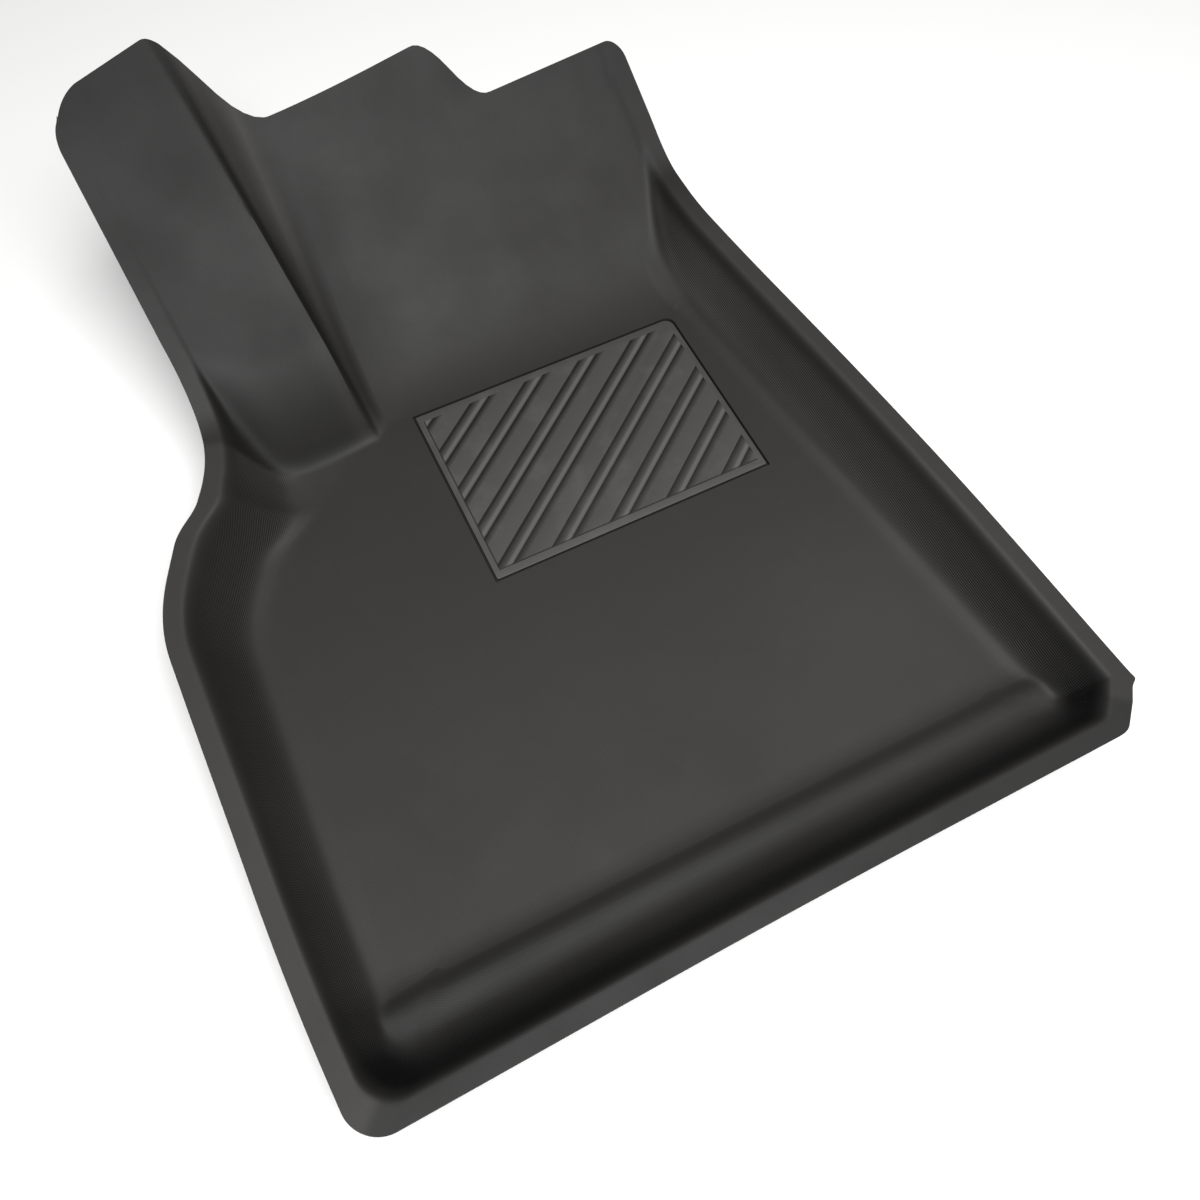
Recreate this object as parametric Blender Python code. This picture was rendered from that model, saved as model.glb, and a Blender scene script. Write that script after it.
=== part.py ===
"""Moulded footwell mat for the driver's side of a left-hand-drive car.

A laminate of three moulded sheets (wear skin, foam core, felt backing) with a ribbed heel
pad set into a recess of the skin and four hook-tape patches under the floor.  +X is the
car's right, +Y is forward, +Z is up.  The origin is at the middle of the outline, on the
plane that the patches stand on.  All sizes below are millimetres.
"""

import math

import bmesh
import bpy

MM = 0.001

# ---- laminate, from the top down -------------------------------------------------------
GAP = 0.3
SKIN = 0.8
CORE = 2.6
FELT = 1.0
SHEET = SKIN + GAP + CORE + GAP + FELT
PATCH_THICK = 1.6
FLOOR_TOP = PATCH_THICK + GAP + SHEET

# ---- rim, walls and floor --------------------------------------------------------------
LIP = 16.5  # width of the flat flange around the tray
WALL_SLOPE = 1.88  # rise over run of the side walls, 28 degrees off upright
SHELF = 6.0  # step of the floor along the rear wall
APRON_START = 116.0
APRON_FULL = 220.0
APRON_SLOPE = 0.8
FRONT_STRETCH = 120.0  # from here forward the rows are stretched to the front outline
FRONT = 390.0
REAR_STRETCH = -300.0  # from here back they are stretched to the rear outline
LEAN_SPAN = 14.0
TAB_COLUMNS = (-20.0, 46.0, 66.0, 81.0, 103.0)  # grid lines that carry the tabs and the notch

# Soft lines: (station, value, half-width of the rounding at that corner).
LEFT_EDGE = (
    (-389, -293, 0),
    (-280, -300.5, 60),
    (-14, -300, 32),
    (50, -266, 10),
    (62, -249, 7),
    (96, -228, 22),
    (150, -221, 28),
    (360, -234.5, 0),
)
RIGHT_EDGE = (
    (-381, 305.5, 0),
    (-335, 300, 20),
    (-150, 280.5, 60),
    (120, 245.5, 50),
    (178, 239, 20),
    (245, 239.5, 25),
    (321, 231, 0),
)
REAR_EDGE = ((-300, -388.5, 0), (0, -381.5, 120), (305, -381, 0))
FRONT_EDGE = (
    (-235, 358.5, 0),
    (-138, 393.5, 9),
    (-92, 335.5, 16),
    (67, 355, 13),
    (92, 312, 13),
    (234, 321, 0),
)
LEFT_RIM = ((-388, 45.5, 0), (-240, 47, 60), (-60, 58, 60), (70, 61, 50), (131, 62, 12), (388, 202.6, 0))
RIGHT_RIM = ((-388, 41, 0), (-190, 50, 60), (-40, 53, 40), (124, 52, 40), (240, 53.5, 30), (388, 60, 0))
# Fall of a 52 mm wall against the distance past the lip, one soft line for each wall.
WALL_HEIGHT = 52.0
LEFT_WALL = ((-30, 0, 0), (0, 0, 3.5), (7, 19.5, 4), (19, 43, 6), (27, 50.5, 6), (38, 54, 6), (90, 120, 0))
RIGHT_WALL = ((-30, 0, 0), (0, 0, 4.5), (19, 41, 6), (27, 50, 6), (38, 54, 6), (90, 120, 0))
REAR_WALL = ((-30, 0, 0), (0, 0, 4), (12, 28, 5), (19, 36, 5), (31, 44, 8), (52, 54, 7), (90, 120, 0))

# ---- footrest hump at the left front ---------------------------------------------------
HUMP_TOP = (75.0, -220.0, 154.0, -0.13, 0.547)  # height, at x, at y, slope in x, slope in y
RIDGE = ((90, -99.5, 0), (388, -137.0, 0))
SIDE_FOOT = ((90, -90, 0), (225, -89, 40), (388, -72, 0))
SIDE_FALL = ((-1, 0, 0), (0, 0, 0.02), (0.46, 0.74, 0.1), (1, 1, 0.12), (2, 1.35, 0))
NOSE_LEFT = (6.0, -170.0, 103.0, 0.55, 1.75)
NOSE_RIGHT = (1.0, -132.0, 106.0, -0.22, 1.75)
TOE_FACET = (0.0, -153.0, 91.0, -0.115, 0.139)

# ---- corners of the outline, in plan ---------------------------------------------------
CORNER_REAR_LEFT = 24.0
CHAMFER_REAR_RIGHT = 32.0
CHAMFER_LEAST = 9.0
NIB = 1.4
CORNER_FRONT_LEFT = 32.0
CORNER_FRONT_RIGHT = 14.0
CORNER_FADE = (50.0, 120.0)

# ---- heel pad --------------------------------------------------------------------------
PAD_CENTRE = (58.5, 26.5)
PAD_SIZE = (246.0, 174.0)
RECESS = 2.2
RECESS_WALL = 0.6
PAD_CLEAR = 0.5
PAD_THICK = 1.9
PAD_GROOVE = 0.9
PAD_FRAME = (6.0, 8.0)  # plain border beside the ribs, and in front of and behind them
PAD_RIB_ANGLE = math.radians(38)
PAD_PITCH = 31.5  # wide bar to wide bar, measured across them
PAD_FIRST_BAR = -10.4
PAD_BAR = 14.8
PAD_RIDGE = 4.6

# ---- hook-tape patches: centre x, centre y ---------------------------------------------
PATCH_SIZE = (100.0, 30.0)
PATCHES = {
    "hook_patch_rear_left": (-170.0, -250.0),
    "hook_patch_rear_right": (185.0, -250.0),
    "hook_patch_front_left": (-140.0, 30.0),
    "hook_patch_front_right": (60.0, 85.0),
}


def soft_ramp(t, half):
    """Zero below the corner, t above it, with a parabola within half of the corner."""
    if t <= -half:
        return 0.0
    if t >= half:
        return t
    return (t + half) ** 2 / (4 * half)


def soft_line(corners, t):
    """Value at station t of straight runs whose corners are rounded."""
    (t0, value, _), rest = corners[0], corners[1:]
    slope = (rest[0][1] - value) / (rest[0][0] - t0)
    value += slope * (t - t0)
    for (ta, va, half), (tb, vb, _) in zip(rest, rest[1:]):
        turn = (vb - va) / (tb - ta) - slope
        value += turn * soft_ramp(t - ta, half)
        slope += turn
    return value


def soft_max(a, b, k):
    """The larger of two heights, blended where they are within k of each other."""
    return max(a, b) + max(0.0, k - abs(a - b)) ** 2 / (4 * k)


def soft_min(a, b, k):
    """The smaller of two heights, blended where they are within k of each other."""
    return -soft_max(-a, -b, k)


def plane(spec, x, y):
    """Height at (x, y) of a plane given by one height, its place and its two slopes."""
    height, x0, y0, slope_x, slope_y = spec
    return height + slope_x * (x - x0) + slope_y * (y - y0)


def edge_lean(edge, t):
    """Cosine of the angle between an edge, smoothed over LEAN_SPAN, and its own stations."""
    rise = (soft_line(edge, t + LEAN_SPAN) - soft_line(edge, t - LEAN_SPAN)) / (2 * LEAN_SPAN)
    return 1 / math.sqrt(1 + rise * rise)


def apron(y):
    """Height of the toe board over the flat floor."""
    half = (APRON_FULL - APRON_START) / 2
    return APRON_SLOPE * soft_ramp(y - (APRON_START + half), half)


def smooth_step(t):
    """A smooth rise from 0 at t = 0 to 1 at t = 1."""
    t = min(1.0, max(0.0, t))
    return t * t * (3 - 2 * t)


def shelf(y):
    """Height of the step along the rear wall."""
    return soft_line(((-388, SHELF, 0), (-320, SHELF, 5.5), (-307, 0, 5.5), (388, 0, 0)), y)


def hump(x, y):
    """Height of the footrest: a sloping top, a side face and a rounded nose."""
    ridge, foot = soft_line(RIDGE, y), soft_line(SIDE_FOOT, y)
    crest = plane(HUMP_TOP, ridge, y)
    past = (x - ridge) / (foot - ridge)
    side = crest - (crest - apron(y)) * (3 * past if past < 0 else soft_line(SIDE_FALL, past))
    nose = soft_min(plane(NOSE_LEFT, x, y), plane(NOSE_RIGHT, x, y), 12)
    return soft_min(soft_min(plane(HUMP_TOP, x, y), side, 4), nose, 36)


def rim(x, y):
    """Height of the flange, carried across the mat from its left to its right edge."""
    left, right = soft_line(LEFT_EDGE, y), soft_line(RIGHT_EDGE, y)
    share = min(1.0, max(0.0, (x - left) / (right - left)))
    share += smooth_step((share - 0.5) / 0.35) * (1 - share)
    return (1 - share) * soft_line(LEFT_RIM, y) + share * soft_line(RIGHT_RIM, y)


def surface(x, y, edges):
    """Height of the mat's top face; edges are the distances in from the left, right and rear."""
    left, right, rear = edges
    height = rim(x, y)
    into = (min(edges) - LIP) * WALL_HEIGHT / min(height, 62.0)
    by_rear = smooth_step(0.5 + (min(left, right) - rear) / 50)
    side_fall = soft_line(LEFT_WALL if left < right else RIGHT_WALL, into)
    fall = (1 - by_rear) * side_fall + by_rear * soft_line(REAR_WALL, into)
    wall = height - fall * height / WALL_HEIGHT
    floor = soft_max(apron(y) + shelf(y), plane(TOE_FACET, x, y), 3)
    ground = soft_max(floor, hump(x, y), 1.5 + 14.5 * smooth_step((y - 110) / 110))
    by_nose = smooth_step((y - 92) / 25) * smooth_step((215 - y) / 50) * smooth_step((-140 - x) / 30)
    by_nose *= smooth_step((min(edges) - LIP) / 10)
    by_right = smooth_step((y - 100) / 70) * smooth_step((x - 60) / 60)
    return soft_max(ground, wall, 4 + 12 * by_right + 16 * by_nose)


def rounded(near, far, radius):
    """Bend the square corner between two edges; takes and returns distances from them."""
    level = min(near, far)
    along = abs(near - far)
    if radius <= 0:
        return near, far
    fade = min(1.0, max(0.0, (level - CORNER_FADE[0]) / (CORNER_FADE[1] - CORNER_FADE[0])))
    radius *= 1 - fade * fade * (3 - 2 * fade)
    if along >= radius:
        return near, far
    angle = math.radians(45) * (1 - along / radius)
    inward = level + radius * (1 - math.cos(angle))
    beside = level + radius * (1 - math.sin(angle))
    return (inward, beside) if near < far else (beside, inward)


def chamfered(side, end):
    """Cut the rear right corner off, with a small nib where the cut starts."""
    level, along = min(side, end), abs(side - end)
    fade = 1 - smooth_step((level - CORNER_FADE[0]) / (CORNER_FADE[1] - CORNER_FADE[0]))
    past = max(CHAMFER_REAR_RIGHT - 0.586 * level, CHAMFER_LEAST) - along
    push = fade * soft_ramp(past, 1.5 if side < end else 7.0) / 2
    bump = math.exp(-(((end + push - 29.0) / 2.4) ** 2)) * (1 - smooth_step(level / 9))
    return side + push - (NIB * bump if side < end else 0.0), end + push


def round_corners(x, y):
    """Apply the corners of the outline to a point of the square-cornered plan."""
    left, right = soft_line(LEFT_EDGE, y), soft_line(RIGHT_EDGE, y)
    rear, front = soft_line(REAR_EDGE, x), soft_line(FRONT_EDGE, x)
    near_left, near_rear = x - left < right - x, y - rear < front - y
    radius = {
        (True, True): CORNER_REAR_LEFT,
        (False, True): 0.0,
        (True, False): CORNER_FRONT_LEFT,
        (False, False): CORNER_FRONT_RIGHT,
    }[near_left, near_rear]
    side = x - left if near_left else right - x
    end = y - rear if near_rear else front - y
    side, end = chamfered(side, end) if near_rear and not near_left else rounded(side, end, radius)
    return (left + side if near_left else right - side, rear + end if near_rear else front - end)


def wall_steps(height):
    """Distances in from a walled edge that follow the flange, the wall and its foot."""
    foot = LIP + height / WALL_SLOPE
    return (0.0, LIP - 5, LIP + 2, (LIP + foot) / 2 + 2, foot - 3, foot + 6)


def columns(y):
    """The x of every grid column at station y, from the left edge to the right edge."""
    pad_left, pad_right = PAD_CENTRE[0] - PAD_SIZE[0] / 2, PAD_CENTRE[0] + PAD_SIZE[0] / 2
    left, right = soft_line(LEFT_EDGE, y), soft_line(RIGHT_EDGE, y)
    left_lean, right_lean = edge_lean(LEFT_EDGE, y), edge_lean(RIGHT_EDGE, y)
    xs = [left + step / left_lean for step in wall_steps(min(61, soft_line(LEFT_RIM, y)))]
    ridge = soft_line(RIDGE, max(90, y))
    foot = soft_line(SIDE_FOOT, max(90, y))
    xs += [ridge - 7, ridge + 4, (ridge + foot) / 2 + 1, foot - 3]
    steps = wall_steps(soft_line(RIGHT_RIM, min(124, y)))
    inner = right - steps[-1] / right_lean
    pad_right = min(pad_right, inner - 4)
    xs += [pad_left - RECESS_WALL, pad_left, *TAB_COLUMNS, pad_right, pad_right + RECESS_WALL]
    xs += [right - step / right_lean for step in reversed(steps)]
    return xs


def stations():
    """The y of every grid row before it is stretched to the outline, rear to front."""
    rear = soft_line(REAR_EDGE, 0)
    pad_rear, pad_front = PAD_CENTRE[1] - PAD_SIZE[1] / 2, PAD_CENTRE[1] + PAD_SIZE[1] / 2
    ys = [rear + step for step in wall_steps(43 - SHELF)]
    ys += [-320, -310, -220, -130, pad_rear - RECESS_WALL, pad_rear]
    ys += [-30, -5, 20, 42, 56, 68, 84, 99]
    ys += [pad_front, pad_front + RECESS_WALL, 128, 145, 166, 190, 214, 238, 265, 295, 325, 355, FRONT]
    return ys


def grid_points():
    """Plan place and edge distances of every grid vertex: rows of (x, y, edges, in the recess)."""
    pad_x = [PAD_CENTRE[0] + side * PAD_SIZE[0] / 2 for side in (-1, 1)]
    pad_y = [PAD_CENTRE[1] + side * PAD_SIZE[1] / 2 for side in (-1, 1)]
    mid_rear = soft_line(REAR_EDGE, 0)
    rows = []
    for station in stations():
        row = []
        for column in range(len(columns(0))):
            y = station
            for _ in range(6):
                x = columns(y)[column]
                if station > FRONT_STRETCH:
                    reach = (soft_line(FRONT_EDGE, x) - FRONT_STRETCH) / (FRONT - FRONT_STRETCH)
                    y = FRONT_STRETCH + (station - FRONT_STRETCH) * reach
                elif station < REAR_STRETCH:
                    share = (REAR_STRETCH - station) / (REAR_STRETCH - mid_rear)
                    y = station + share * (soft_line(REAR_EDGE, x) - mid_rear)
            left = (x - soft_line(LEFT_EDGE, y)) * edge_lean(LEFT_EDGE, y)
            right = (soft_line(RIGHT_EDGE, y) - x) * edge_lean(RIGHT_EDGE, y)
            edges = (left, right, y - soft_line(REAR_EDGE, x))
            sunk = pad_x[0] - 0.01 <= x <= pad_x[1] + 0.01 and pad_y[0] - 0.01 <= y <= pad_y[1] + 0.01
            row.append((*round_corners(x, y), edges, sunk))
        rows.append(row)
    return rows


def base_surface(rows):
    """Points of the unrecessed top face and the unit normals there."""
    points, normals = [], []
    for row in rows:
        points.append([(x, y, FLOOR_TOP + surface(x, y, edges)) for x, y, edges, _ in row])
    last_row, last_column = len(points) - 1, len(points[0]) - 1
    for j, row in enumerate(points):
        line = []
        for i in range(len(row)):
            a, b = row[max(0, i - 1)], row[min(last_column, i + 1)]
            c, d = points[max(0, j - 1)][i], points[min(last_row, j + 1)][i]
            u, v = [q - p for p, q in zip(a, b)], [q - p for p, q in zip(c, d)]
            n = (u[1] * v[2] - u[2] * v[1], u[2] * v[0] - u[0] * v[2], u[0] * v[1] - u[1] * v[0])
            size = math.sqrt(sum(k * k for k in n))
            line.append(tuple(k / size for k in n))
        normals.append(line)
    return points, normals


def offset_layer(rows, points, normals, down, recessed):
    """The grid moved down its normals, and sunk under the heel pad where recessed."""
    return [
        [
            tuple(p - down * n - (RECESS if recessed and axis == 2 and cell[3] else 0)
                  for axis, (p, n) in enumerate(zip(point, normal)))
            for cell, point, normal in zip(cells, line, line_normals)
        ]
        for cells, line, line_normals in zip(rows, points, normals)
    ]


def material(name, colour, roughness, metallic=0.0):
    """A Principled material of one colour."""
    made = bpy.data.materials.new(name)
    made.use_nodes = True
    shader = made.node_tree.nodes["Principled BSDF"]
    shader.inputs["Base Color"].default_value = (*colour, 1.0)
    shader.inputs["Roughness"].default_value = roughness
    shader.inputs["Metallic"].default_value = metallic
    made.diffuse_color = (*colour, 1.0)
    return made


def add_object(name, mesh, dressed, place=(0.0, 0.0, 0.0)):
    """Link a mesh as a named object at a place in millimetres."""
    made = bpy.data.objects.new(name, mesh)
    mesh.materials.append(dressed)
    made.location = [k * MM for k in place]
    bpy.context.scene.collection.objects.link(made)
    return made


def sheet(name, top, bottom, dressed):
    """A closed sheet between two grids of points."""
    height, width = len(top), len(top[0])
    body = bmesh.new()
    upper = [[body.verts.new([k * MM for k in p]) for p in line] for line in top]
    lower = [[body.verts.new([k * MM for k in p]) for p in line] for line in bottom]
    for j in range(height - 1):
        for i in range(width - 1):
            for grid, turn in ((upper, 1), (lower, -1)):
                a, b = grid[j][i], grid[j][i + 1]
                c, d = grid[j + 1][i + 1], grid[j + 1][i]
                for corner in ((a, b, c), (a, c, d)):
                    body.faces.new(corner[::turn])
    border = [(0, i) for i in range(width - 1)]
    border += [(j, width - 1) for j in range(height - 1)]
    border += [(height - 1, i) for i in range(width - 1, 0, -1)]
    border += [(j, 0) for j in range(height - 1, 0, -1)]
    for (j, i), (k, m) in zip(border, border[1:] + border[:1]):
        body.faces.new((upper[j][i], lower[j][i], lower[k][m]))
        body.faces.new((upper[j][i], lower[k][m], upper[k][m]))
    mesh = bpy.data.meshes.new(name)
    body.to_mesh(mesh)
    body.free()
    mesh.shade_smooth()
    mesh.set_sharp_from_angle(angle=math.radians(35))
    return add_object(name, mesh, dressed)


def prism(name, outline, bottom, top, dressed=None, place=(0.0, 0.0, 0.0)):
    """A straight prism over a plan outline that runs anticlockwise."""
    body = bmesh.new()
    base = body.faces.new([body.verts.new((x * MM, y * MM, bottom * MM)) for x, y in outline])
    raised = bmesh.ops.extrude_face_region(body, geom=[base])["geom"]
    moved = [item for item in raised if isinstance(item, bmesh.types.BMVert)]
    bmesh.ops.translate(body, verts=moved, vec=(0, 0, (top - bottom) * MM))
    bmesh.ops.recalc_face_normals(body, faces=body.faces)
    mesh = bpy.data.meshes.new(name)
    body.to_mesh(mesh)
    body.free()
    made = bpy.data.objects.new(name, mesh)
    made.location = [k * MM for k in place]
    bpy.context.scene.collection.objects.link(made)
    if dressed:
        mesh.materials.append(dressed)
    return made


def rectangle(width, depth, radius=0.0, segments=4):
    """A rectangle about the origin, with round corners when radius is given."""
    points = []
    for turn, (sx, sy) in enumerate(((1, 1), (-1, 1), (-1, -1), (1, -1))):
        cx, cy = sx * (width / 2 - radius), sy * (depth / 2 - radius)
        if not radius:
            points.append((cx, cy))
            continue
        for step in range(segments + 1):
            angle = math.radians(90) * (turn + step / segments)
            points.append((cx + radius * math.cos(angle), cy + radius * math.sin(angle)))
    return points


def clip(outline, axis, limit, sign):
    """The part of a convex outline where sign * coordinate is at most sign * limit."""
    kept = []
    for p, q in zip(outline, outline[1:] + outline[:1]):
        over_p, over_q = sign * (p[axis] - limit), sign * (q[axis] - limit)
        if over_p <= 0:
            kept.append(p)
        if over_p * over_q < 0:
            share = over_p / (over_p - over_q)
            kept.append(tuple(a + share * (b - a) for a, b in zip(p, q)))
    return kept


def groove_outlines():
    """Plan outlines of the grooves between the slanting bars and ridges, cut to the frame."""
    half_x, half_y = PAD_SIZE[0] / 2 - PAD_FRAME[0], PAD_SIZE[1] / 2 - PAD_FRAME[1]
    along = (math.cos(PAD_RIB_ANGLE), math.sin(PAD_RIB_ANGLE))
    across = (-along[1], along[0])
    for index in range(-4, 5):
        for side_of_ridge in (-1, 1):
            width = (PAD_PITCH - PAD_BAR - PAD_RIDGE) / 2
            ridge = PAD_FIRST_BAR + (index + 0.5) * PAD_PITCH
            middle = ridge + side_of_ridge * (PAD_RIDGE + width) / 2
            strip = [
                tuple(reach * a + (middle + side * width / 2) * c for a, c in zip(along, across))
                for reach, side in ((-300, -1), (300, -1), (300, 1), (-300, 1))
            ]
            for axis, limit in ((0, half_x), (1, half_y)):
                strip = clip(clip(strip, axis, limit, 1), axis, -limit, -1)
            xs = [p[0] for p in strip]
            if len(strip) > 2 and max(xs) - min(xs) > 6:
                yield strip


def heel_pad(dressed):
    """The pad: a plate with slanting grooves inside a plain frame."""
    bottom = FLOOR_TOP - RECESS + GAP
    face = bottom + PAD_THICK
    outline = rectangle(PAD_SIZE[0] - 2 * PAD_CLEAR, PAD_SIZE[1] - 2 * PAD_CLEAR)
    place = (*PAD_CENTRE, 0.0)
    pad = prism("heel_pad", outline, bottom, face, dressed, place)
    for number, strip in enumerate(groove_outlines()):
        cutter = prism(f"groove_{number}", strip, face - PAD_GROOVE, face + 1.0, None, place)
        cutter.hide_render = True
        cutter.display_type = "WIRE"
        cut = pad.modifiers.new(f"groove {number}", "BOOLEAN")
        cut.operation = "DIFFERENCE"
        cut.object = cutter
    return pad


def hook_patches(dressed):
    """Four strips of hook tape that the mat stands on."""
    for name, (x, y) in PATCHES.items():
        prism(name, rectangle(*PATCH_SIZE, 5.0, 3), 0.0, PATCH_THICK, dressed, (x, y, 0.0))


def build():
    """Clear the scene and build every piece."""
    for stale in list(bpy.data.objects):
        bpy.data.objects.remove(stale, do_unlink=True)
    rows = grid_points()
    points, normals = base_surface(rows)
    down = 0.0
    for name, thick, dressed in (
        ("wear_skin", SKIN, material("charcoal elastomer", (0.055, 0.052, 0.050), 0.72)),
        ("foam_core", CORE, material("black foam", (0.030, 0.030, 0.031), 0.90)),
        ("backing_felt", FELT, material("grey felt", (0.045, 0.045, 0.047), 0.97)),
    ):
        top = offset_layer(rows, points, normals, down, name != "backing_felt")
        bottom = offset_layer(rows, points, normals, down + thick, name == "wear_skin")
        sheet(name, top, bottom, dressed)
        down += thick + GAP
    heel_pad(material("heel pad elastomer", (0.085, 0.082, 0.078), 0.60))
    hook_patches(material("hook tape", (0.018, 0.018, 0.018), 0.85))


build()
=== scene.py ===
"""Looks of a moulded driver's footwell mat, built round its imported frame.

The mat is one laminate of three moulded sheets (grained skin, foam core, felt backing), with a
ribbed heel pad set into the skin and four strips of hook tape below.  +X is the car's right,
+Y is forward and +Z is up.  Sizes are millimetres in the classes and metres in the meshes.
"""

import logging
import math
import sys
from dataclasses import dataclass, field
from enum import Enum

import bmesh
import bpy
import numpy as np
from mathutils import Matrix, Vector


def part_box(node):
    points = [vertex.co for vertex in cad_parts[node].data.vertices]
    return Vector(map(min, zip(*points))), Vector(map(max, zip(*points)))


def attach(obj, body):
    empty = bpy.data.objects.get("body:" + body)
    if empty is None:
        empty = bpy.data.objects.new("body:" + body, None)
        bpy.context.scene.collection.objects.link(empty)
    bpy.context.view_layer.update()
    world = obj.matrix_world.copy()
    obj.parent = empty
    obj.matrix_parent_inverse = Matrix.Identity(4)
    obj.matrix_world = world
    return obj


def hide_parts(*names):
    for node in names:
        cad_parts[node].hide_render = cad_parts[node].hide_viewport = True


LOG = logging.getLogger("footwell_mat")
MM = 0.001
BODY = "root"

Array = np.ndarray
Colour = tuple[float, float, float]


# ---- curves and heights ----------------------------------------------------------------


def soft_ramp(t: Array, half: float) -> Array:
    """Zero below the corner and t above it, with a parabola within half of the corner.

    Args:
        t: Distance past the corner.
        half: Half-width of the rounding, or 0 for a sharp corner.

    Returns:
        The ramp's value at each t.
    """
    if half <= 0:
        return np.maximum(t, 0.0)
    return np.where(t <= -half, 0.0, np.where(t >= half, t, (t + half) ** 2 / (4 * half)))


def soft_max(a: Array, b: Array, reach: float) -> Array:
    """The larger of two heights, blended where they are within reach of each other.

    Args:
        a: First height.
        b: Second height.
        reach: Difference at which the blend ends.

    Returns:
        The blended height.
    """
    return np.maximum(a, b) + np.maximum(0.0, reach - np.abs(a - b)) ** 2 / (4 * reach)


def soft_min(a: Array, b: Array, reach: float) -> Array:
    """The smaller of two heights, blended as soft_max blends the larger."""
    return -soft_max(-a, -b, reach)


def smooth_step(t: Array) -> Array:
    """A smooth rise from 0 at t = 0 to 1 at t = 1."""
    t = np.clip(t, 0.0, 1.0)
    return t * t * (3 - 2 * t)


@dataclass(frozen=True)
class SoftLine:
    """Straight runs joined by rounded corners: (station, value, half-width of the rounding)."""

    corners: tuple[tuple[float, float, float], ...]

    def at(self, t: Array | float) -> Array:
        """The line's value at each station."""
        t = np.asarray(t, float)
        (t0, start, _), *rest = self.corners
        slope = (rest[0][1] - start) / (rest[0][0] - t0)
        value = start + slope * (t - t0)
        for (ta, va, half), (tb, vb, _) in zip(rest, rest[1:]):
            turn = (vb - va) / (tb - ta) - slope
            value = value + turn * soft_ramp(t - ta, half)
            slope += turn
        return value

    def lean(self, t: Array, span: float = 14.0) -> Array:
        """Cosine of the angle between the line, smoothed over span, and its stations' axis."""
        rise = (self.at(t + span) - self.at(t - span)) / (2 * span)
        return 1 / np.sqrt(1 + rise * rise)


@dataclass(frozen=True)
class Facet:
    """A sloping plane: its height at (x, y) and its slopes along X and Y."""

    height: float
    x: float
    y: float
    slope_x: float
    slope_y: float

    def at(self, x: Array, y: Array) -> Array:
        """The plane's height over each point of the plan."""
        return self.height + self.slope_x * (x - self.x) + self.slope_y * (y - self.y)


# ---- the mould -------------------------------------------------------------------------


@dataclass(frozen=True)
class Outline:
    """Plan outline of the mat: four edges and the corner radii between them."""

    left: SoftLine = SoftLine(
        (
            (-389, -293, 0),
            (-280, -300.5, 60),
            (-14, -300, 32),
            (50, -266, 10),
            (62, -249, 7),
            (96, -228, 22),
            (150, -221, 28),
            (360, -234.5, 0),
        )
    )
    right: SoftLine = SoftLine(
        (
            (-381, 305.5, 0),
            (-335, 300.0, 20),
            (-150, 280.5, 60),
            (120, 245.5, 50),
            (178, 239, 20),
            (245, 239.5, 25),
            (321, 231, 0),
        )
    )
    rear: SoftLine = SoftLine(((-300, -388.5, 0), (0, -381.5, 120), (305, -381, 0)))
    front: SoftLine = SoftLine(
        (
            (-235, 358.5, 0),
            (-138, 393.5, 9),
            (-92, 335.5, 16),
            (67, 355, 13),
            (92, 312, 13),
            (234, 321, 0),
        )
    )
    rear_left: float = 24.0
    rear_right: float = 32.0
    chamfer_least: float = 9.0
    nib: float = 2.4
    front_left: float = 32.0
    front_right: float = 14.0
    fade: tuple[float, float] = (50.0, 120.0)

    def bend(self, near: Array, far: Array, radius: Array) -> tuple[Array, Array]:
        """Bend the square corner between two edges into a round one.

        Args:
            near: Distance from the side edge.
            far: Distance from the end edge.
            radius: Radius of the outline's corner, which fades away deep inside.

        Returns:
            The two distances after bending.
        """
        level, along = np.minimum(near, far), np.abs(near - far)
        radius = radius * (1 - smooth_step((level - self.fade[0]) / (self.fade[1] - self.fade[0])))
        radius = np.maximum(radius, 1e-6)
        angle = math.radians(45) * (1 - np.minimum(along / radius, 1.0))
        inward = level + radius * (1 - np.cos(angle))
        beside = level + radius * (1 - np.sin(angle))
        bent = along < radius
        near_first = near < far
        new_near = np.where(near_first, inward, beside)
        new_far = np.where(near_first, beside, inward)
        return np.where(bent, new_near, near), np.where(bent, new_far, far)

    def chamfer(self, side: Array, end: Array) -> tuple[Array, Array]:
        """Cut the rear right corner off, with a small nib where the cut starts.

        Args:
            side: Distance from the side edge.
            end: Distance from the rear edge.

        Returns:
            The two distances after the cut.
        """
        level, along = np.minimum(side, end), np.abs(side - end)
        fade = 1 - smooth_step((level - self.fade[0]) / (self.fade[1] - self.fade[0]))
        past = np.maximum(self.rear_right - 0.586 * level, self.chamfer_least) - along
        push = fade * np.where(side < end, soft_ramp(past, 1.5), soft_ramp(past, 7.0)) / 2
        bump = np.exp(-(((end + push - 29.0) / 2.4) ** 2)) * (1 - smooth_step(level / 9))
        return side + push - self.nib * bump * (side < end), end + push

    def round_corners(self, x: Array, y: Array) -> tuple[Array, Array]:
        """Apply the corner radii to points of the square-cornered plan."""
        left, right = self.left.at(y), self.right.at(y)
        rear, front = self.rear.at(x), self.front.at(x)
        by_left, by_rear = x - left < right - x, y - rear < front - y
        radius = np.where(
            by_rear,
            np.where(by_left, self.rear_left, 0.0),
            np.where(by_left, self.front_left, self.front_right),
        )
        side = np.where(by_left, x - left, right - x)
        end = np.where(by_rear, y - rear, front - y)
        cut_side, cut_end = self.chamfer(side, end)
        side, end = self.bend(side, end, radius)
        cut = by_rear & ~by_left
        side, end = np.where(cut, cut_side, side), np.where(cut, cut_end, end)
        return np.where(by_left, left + side, right - side), np.where(by_rear, rear + end, front - end)


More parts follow.
